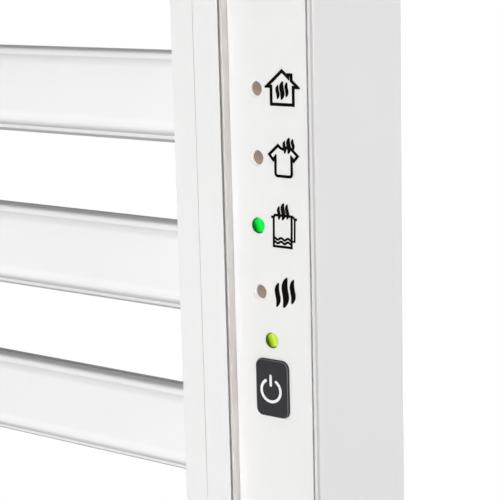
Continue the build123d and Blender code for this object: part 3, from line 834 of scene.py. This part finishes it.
# Painted: colour, roughness, coat and ripple. Moulded: colour, roughness, the grain's size and
# depth, and the share of the colour in clouds. Rubbery: colour and the size of the ribs.
finishes = {
    "bar_enamel": bar_enamel(),
    "column_enamel": column_enamel(),
    "strip_plastic": strip_plastic(),
    "cap_plastic": moulded("cap_plastic", pale_white, 0.36, 0.3 * mm, 0.008 * mm),
    "button_plastic": charcoal("button_plastic"),
    "indicator_dark": unlit_guide("indicator_dark"),
    "indicator_green": lit_glow("indicator_green", guide_face("towel"), *green_glow),
    "indicator_lime": lit_glow("indicator_lime", guide_face("power"), *lime_glow),
    "bracket_enamel": painted("bracket_enamel", pale_white, 0.34, 0.15, 0.004),
    "zinc_steel": zinc_plated("zinc_steel"),
    "brass": turned_brass("brass"),
    "gland_nylon": moulded("gland_nylon", rgb(236, 236, 232), 0.45, 0.5 * mm, 0.02 * mm),
    "circuit_board": solder_mask("circuit_board"),
    "black_plastic": moulded("black_plastic", (0.045, 0.045, 0.048, 1), 0.5, 0.4 * mm, 0.02 * mm, 0.8),
    "transformer_iron": laminated_iron("transformer_iron"),
    "pale_plastic": moulded("pale_plastic", rgb(222, 220, 212), 0.45, 0.5 * mm, 0.02 * mm, 0.95),
    "cutout_metal": zinc_plated("cutout_metal"),
    "heater_silicone": rubbery("heater_silicone", (0.42, 0.13, 0.07, 1), 0.5 * mm),
    "wiring_sleeve": rubbery("wiring_sleeve", (0.22, 0.22, 0.24, 1), 0.6 * mm),
}


def dress_nodes():
    """Every CAD node gets its slot's finish."""
    for part in frame["record"]["subparts"]:
        mesh = frame["nodes"][part["node"]].data
        if not mesh.materials:
            mesh.materials.append(None)
        for index in range(len(mesh.materials)):
            mesh.materials[index] = finishes[part["material_slot"]]


dress_nodes()


# The bars with their front's real form, in place of the plain ovals
def oval_depth(height, half_height):
    """How far the plain oval lies behind its front at that height."""
    beyond = min(max(height - (half_height - bar_corner), 0), bar_corner)
    return bar_corner - math.sqrt(bar_corner ** 2 - beyond ** 2)


def upper_depth(height, half_height):
    """How far the shaped bar lies behind its front, up from the middle: dome, slope, round rim."""
    start = min(height, upper_rim_start)
    depth = oval_depth(start, half_height) + bar_dome * start ** 2
    round_start = half_height - upper_rim_radius
    depth += upper_rim_slope * (min(height, round_start) - start)
    rounding = max(height - round_start, 0)
    return depth + upper_rim_radius - math.sqrt(max(upper_rim_radius ** 2 - rounding ** 2, 0))


def lower_depth(height, half_height):
    """The same down from the middle: the dome, and a hollow in the oval's rounding."""
    inner = min(height, hollow_end)
    share = max(inner - hollow_start, 0) / (hollow_end - hollow_start)
    return oval_depth(height, half_height) + bar_dome * inner ** 2 + hollow_depth * share ** 3


def bar_section(half_depth, half_height, step=0.1, turns=10):
    """The closed outline as (depth, height) about the middle, up the front and down the plain back."""
    fine_part = half_height - hollow_start
    steps = round(fine_part / step)
    heights = [0, hollow_start / 2]
    heights += [hollow_start + fine_part * count / steps for count in range(steps + 1)]
    upper = [(upper_depth(height, half_height) - half_depth, height) for height in heights]
    lower = [(lower_depth(height, half_height) - half_depth, -height) for height in heights[:0:-1]]
    flat, straight = half_depth - bar_corner, half_height - bar_corner
    corner = []
    for count in range(turns + 1):
        angle = math.pi / 2 * count / turns
        corner.append((flat + bar_corner * math.sin(angle), straight + bar_corner * math.cos(angle)))
    return upper + corner + [(depth, -height) for depth, height in corner[::-1]] + lower


def shape_bar(node):
    """A bar with its real front and smooth sides, which stands for the plain oval."""
    low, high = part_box(node)
    middle = (low + high) / 2
    section = bar_section((high.y - low.y) / 2 / mm, (high.z - low.z) / 2 / mm)
    shape = bmesh.new()
    ends = []
    for x in (low.x, high.x):
        places = [(x, middle.y + depth * mm, middle.z + height * mm) for depth, height in section]
        ends.append([shape.verts.new(place) for place in places])
    count = len(section)
    for index in range(count):
        beside = (index + 1) % count
        side = shape.faces.new((ends[0][index], ends[1][index], ends[1][beside], ends[0][beside]))
        side.smooth = True
    for end in (shape.faces.new(ends[0]), shape.faces.new(ends[1][::-1])):
        for edge in end.edges:
            edge.smooth = False
    bmesh.ops.remove_doubles(shape, verts=shape.verts, dist=1e-7)
    bmesh.ops.recalc_face_normals(shape, faces=shape.faces)
    piece = add_object(node + "_shaped", shape, finishes["bar_enamel"])
    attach(piece, "radiator")
    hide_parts(node)


for node in sorted(frame["nodes"]):
    if node.startswith("bar_") and node[4:].isdigit():
        shape_bar(node)


# Flat marks, drawn in millimetres as (across, up) about a point of the face that carries them
def arc_points(centre, radius, start, end, steps):
    """Points of an arc, with angles in degrees from the right, counted upwards."""
    points = []
    for step in range(steps + 1):
        angle = math.radians(start + (end - start) * step / steps)
        points.append(centre + radius * Vector((math.cos(angle), math.sin(angle))))
    return points


# Corners of strokes: how nearly straight back a path may turn, how far a mitre may reach, and how
# much of a cut corner stays
least_turn = 0.05
longest_mitre = 4
corner_left = 0.75


def side_line(path, offset, closed, spike=2.2):
    """The path moved sideways by the offset, with mitred corners cut off where they would spike."""
    count = len(path)
    line = []
    for index, point in enumerate(path):
        before = path[index - 1] if closed or index else None
        after = path[(index + 1) % count] if closed or index < count - 1 else None
        first = (point - before).normalized() if before else (after - point).normalized()
        second = (after - point).normalized() if after else first
        normal_first = Vector((-first.y, first.x))
        normal_second = Vector((-second.y, second.x))
        middle = normal_first + normal_second
        if middle.length < least_turn:
            line += [point + normal_first * offset, point + normal_second * offset]
            continue
        middle.normalize()
        lean = middle.dot(normal_first)
        stretch = 1 / max(lean, least_turn)
        outer = first.cross(second) * offset < 0
        if stretch > spike and outer:
            slack = (spike - lean) / math.sqrt(max(1 - lean ** 2, 1e-6))
            line.append(point + normal_first * offset + first * abs(offset) * slack * corner_left)
            line.append(point + normal_second * offset - second * abs(offset) * slack * corner_left)
        else:
            line.append(point + middle * offset * min(stretch, longest_mitre))
    return line


def stroke(path, width, closed=False):
    """Outlines of a stroke along a path: two loops if it is closed, one if it is open."""
    path = [Vector(point) for point in path]
    left, right = side_line(path, width / 2, closed), side_line(path, -width / 2, closed)
    if closed:
        return [left, right]
    return [left + right[::-1]]


def round_stroke(path, width, steps=6):
    """Outline of an open stroke with round ends."""
    path = [Vector(point) for point in path]
    left, right = side_line(path, width / 2, False), side_line(path, -width / 2, False)

    def cap(end, start_point):
        spoke = start_point - end
        return [end + Matrix.Rotation(-math.pi * step / steps, 2) @ spoke for step in range(1, steps)]

    return [left + cap(path[-1], left[-1]) + right[::-1] + cap(path[0], right[0])]


# A wave of heat: how far its belly bows, how its ends taper, and half the width they keep
flame_bow = 0.052
flame_taper = 0.62
flame_tip = 0.08


def flame(top, bottom, width, steps=18):
    """Outline of a rising wave of heat: an S with pointed ends, its belly up left and down right."""
    top, bottom = Vector(top), Vector(bottom)
    along = bottom - top
    side = Vector((along.y, -along.x)).normalized()
    left, right = [], []
    for step in range(steps + 1):
        share = step / steps
        bow = flame_bow * along.length * math.sin(math.tau * share)
        half = width / 2 * max(math.sin(math.pi * share), 0.0) ** flame_taper + flame_tip
        spine = top + along * share + side * bow
        left.append(spine + side * half)
        right.append(spine - side * half)
    return [left + right[::-1]]


def print_marks(name, groups, origin, body, ink):
    """One thin solid piece on a face that looks along -Y, from groups of (outlines, thickness)."""
    meshes = []
    for outlines, thickness in groups:
        curve = bpy.data.curves.new(name, "CURVE")
        curve.dimensions = "2D"
        curve.fill_mode = "BOTH"
        curve.extrude = thickness / 2 * mm
        for outline in outlines:
            spline = curve.splines.new("POLY")
            spline.points.add(len(outline) - 1)
            for target, point in zip(spline.points, outline):
                target.co = (point.x * mm, point.y * mm, 0, 1)
            spline.use_cyclic_u = True
        holder = bpy.data.objects.new(name, curve)
        scene.collection.objects.link(holder)
        bpy.context.view_layer.update()
        mesh = bpy.data.meshes.new_from_object(holder)
        # The curve's plane is stood up to face -Y, its back on the carrying face
        lifted = Matrix.Translation(origin - Vector((0, thickness / 2 * mm, 0)))
        mesh.transform(lifted @ Matrix.Rotation(math.pi / 2, 4, "X"))
        meshes.append(mesh)
        bpy.data.objects.remove(holder)
        bpy.data.curves.remove(curve)
    shape = bmesh.new()
    for mesh in meshes:
        shape.from_mesh(mesh)
        bpy.data.meshes.remove(mesh)
    bmesh.ops.remove_doubles(shape, verts=shape.verts, dist=1e-7)
    bmesh.ops.recalc_face_normals(shape, faces=shape.faces)
    piece = add_object(name, shape, ink)
    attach(piece, body)


# Marks: their lines' width, and how thick the ink of lines and of waves lies, in millimetres
line_width = 0.86
line_thickness = 0.03
wave_thickness = 0.036


def house():
    """A house with a chimney, and heat inside it."""
    outline = [
        (5.66, 5.62), (7.90, 3.68), (7.92, 4.50), (8.98, 4.50), (8.98, 2.78), (11.20, 0.90),
        (9.62, 0.88), (9.60, -4.36), (1.66, -4.36), (1.66, 0.92), (0.14, 0.92),
    ]
    waves = flame((4.14, 1.45), (3.88, -2.80), 1.18)
    waves += flame((5.88, 2.60), (5.30, -3.00), 1.58)
    waves += flame((7.46, 2.30), (7.03, -2.10), 1.12)
    return [
        (stroke(outline, line_width * 1.16, closed=True), line_thickness),
        (waves, wave_thickness),
    ]


def shirt():
    """A T-shirt with heat above it."""
    neck = [(7.52, 4.17), (6.60, 3.42), (5.63, 3.10), (4.66, 3.42)]
    outline = [
        (3.74, 4.17), (0.49, 1.34), (1.90, -0.22), (2.72, 0.74), (2.66, -4.30), (2.92, -4.86),
        (3.45, -5.05), (7.76, -5.05), (8.30, -4.86), (8.56, -4.30), (8.54, 0.74), (9.36, -0.22),
        (10.77, 1.34),
    ]
    waves = flame((6.18, 5.75), (6.01, 1.80), 1.05)
    waves += flame((7.85, 6.75), (7.36, 1.80), 1.42)
    waves += flame((9.11, 6.40), (9.10, 2.95), 1.00)
    return [
        (stroke(outline + neck, line_width * 1.05, closed=True), line_thickness),
        (waves, wave_thickness),
    ]


# The towel's ripples, in millimetres: their height, where they start, how long and how deep they
# are and how far they fall, with the number of waves in each
ripple_heights = (-3.12, -4.22)
ripple_start = 1.62
ripple_length = 6.35
ripple_depth = 0.30
ripple_fall = 0.05
ripple_waves = 2.5


def ripple_path(height, steps=24):
    """A wavy line across the towel's lower edge."""
    path = []
    for step in range(steps + 1):
        share = step / steps
        across = ripple_start + share * ripple_length
        wave = ripple_depth * math.cos(math.tau * share * ripple_waves)
        path.append((across, height - ripple_depth + wave - ripple_fall * share))
    return path


def towel():
    """A towel over a rail, its back part behind it, with heat above it."""
    front = [(1.45, -5.82), (1.62, 3.10), (2.05, 3.80), (8.18, 3.74), (7.97, -5.82)]
    back = [(8.18, 3.74), (8.90, 3.50), (9.28, 2.60), (9.10, -3.84), (8.00, -3.88)]
    rails = [[(0.68, 3.10), (1.62, 3.14)], [(9.25, 3.00), (10.12, 2.94)]]
    ripples = [ripple_path(height) for height in ripple_heights]
    groups = [(stroke(front, line_width * 0.9, closed=True), line_thickness)]
    groups += [(stroke(back, line_width * 0.74), line_thickness * 1.05)]
    groups += [(stroke(rail, line_width * 0.9), line_thickness * 1.1) for rail in rails]
    groups += [(stroke(ripple, line_width * 0.84), line_thickness * 1.1) for ripple in ripples]
    waves = flame((3.72, 6.65), (3.38, 2.40), 1.05)
    waves += flame((5.33, 7.65), (4.82, 2.30), 1.45)
    waves += flame((6.68, 7.40), (6.48, 2.75), 1.15)
    return groups + [(waves, wave_thickness)]


def heat():
    """Three plain waves of heat."""
    waves = flame((2.90, 3.75), (2.04, -3.98), 1.72)
    waves += flame((6.02, 5.70), (4.56, -4.00), 2.32)
    waves += flame((8.44, 5.30), (7.58, -2.50), 1.72)
    return [(waves, wave_thickness)]


# The power symbol: its ring's radius, the half of its gap in degrees, and its line's width
ring_radius = 3.56
ring_gap = 33
ring_line = 0.92


def power_symbol():
    """A ring that is open at the top, with a bar in the gap."""
    centre = Vector((-0.29, -0.66))
    ring = arc_points(centre, ring_radius, 90 - ring_gap, -270 + ring_gap, 48)
    bar = [(-0.34, 1.02), (-0.34, 3.98)]
    return [(round_stroke(path, ring_line), line_thickness) for path in (ring, bar)]


# The inks have no slots of their own, so each mark gets an ink finish of its own colour
black_ink = printed_ink("black_ink", rgb(11, 7, 4))
white_ink = printed_ink("white_ink", rgb(236, 236, 234))
button_middle = node_middle("power_button")

for lamp, symbol in (("room", house), ("laundry", shirt), ("towel", towel), ("heat", heat)):
    origin = Vector((button_middle.x, strip_front, node_middle("indicator_" + lamp).z))
    print_marks("symbol_" + lamp, symbol(), origin, "radiator", black_ink)

origin = Vector((button_middle.x, button_low.y, button_middle.z))
print_marks("symbol_power", power_symbol(), origin, "button", white_ink)


# In the lamps' holes: clear cups over the two lit light guides, tinted by the light, and thin milky
# sleeves with a painted glow round the others. Radius, walls, a cup's depth and the gaps left are in
# millimetres.
hole_radius = 2.46
cup_wall = 0.2
sleeve_wall = 0.12
cup_depth = 0.85
front_gap = 0.05
guide_gap = 0.01
axis_radius = 0.01

# How a cup's floor bends up to its wall: in from the wall, and up from the floor
cup_bend = ((0.70, 0.02), (0.30, 0.12), (0.10, 0.3))


def revolve(name, profile, centre, finish, hollow=False, steps=40):
    """A closed solid about an axis along Y through the centre, from (radius, depth) in millimetres.

    A hollow one's profile is a loop, which closes on its first point.
    """
    shape = bmesh.new()
    rings = []
    for radius, depth in profile:
        ring = []
        for step in range(steps):
            angle = math.tau * step / steps
            offset = Vector((radius * math.cos(angle), depth, radius * math.sin(angle))) * mm
            ring.append(shape.verts.new(centre + offset))
        rings.append(ring)
    followers = rings[1:] + rings[:1] if hollow else rings[1:]
    for ring, following in zip(rings, followers):
        for step in range(steps):
            beside = (step + 1) % steps
            side = shape.faces.new((ring[step], ring[beside], following[beside], following[step]))
            side.smooth = True
    if not hollow:
        shape.faces.new(rings[0])
        shape.faces.new(rings[-1][::-1])
    bmesh.ops.recalc_face_normals(shape, faces=shape.faces)
    return add_object(name, shape, finish)


def lens_cup(lamp, finish):
    """The cup fills the hole from its mouth to the light guide's face."""
    centre = guide_face(lamp)
    mouth = (strip_front - centre.y) / mm
    inside = hole_radius - cup_wall
    floor = mouth + cup_depth
    rim = mouth + front_gap
    profile = [(axis_radius, floor)]
    profile += [(inside - inward, floor - rise) for inward, rise in cup_bend]
    profile += [(inside, rim), (hole_radius, rim), (hole_radius, -guide_gap), (axis_radius, -guide_gap)]
    piece = revolve("lens_" + lamp, profile, centre, finish)
    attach(piece, "radiator")


def liner(lamp, finish):
    """A thin sleeve in an unlit lamp's hole, open at both ends."""
    centre = guide_face(lamp)
    rim = (strip_front - centre.y) / mm + front_gap
    inside = hole_radius - sleeve_wall
    profile = [(inside, rim), (hole_radius, rim), (hole_radius, -guide_gap), (inside, -guide_gap)]
    piece = revolve("liner_" + lamp, profile, centre, finish, hollow=True)
    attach(piece, "radiator")


sleeve_finish = milky("milky_sleeve_painted_glow")
for lamp in ("room", "laundry", "heat"):
    liner(lamp, sleeve_finish)
lens_cup("towel", finishes["indicator_green"])
lens_cup("power", finishes["indicator_lime"])
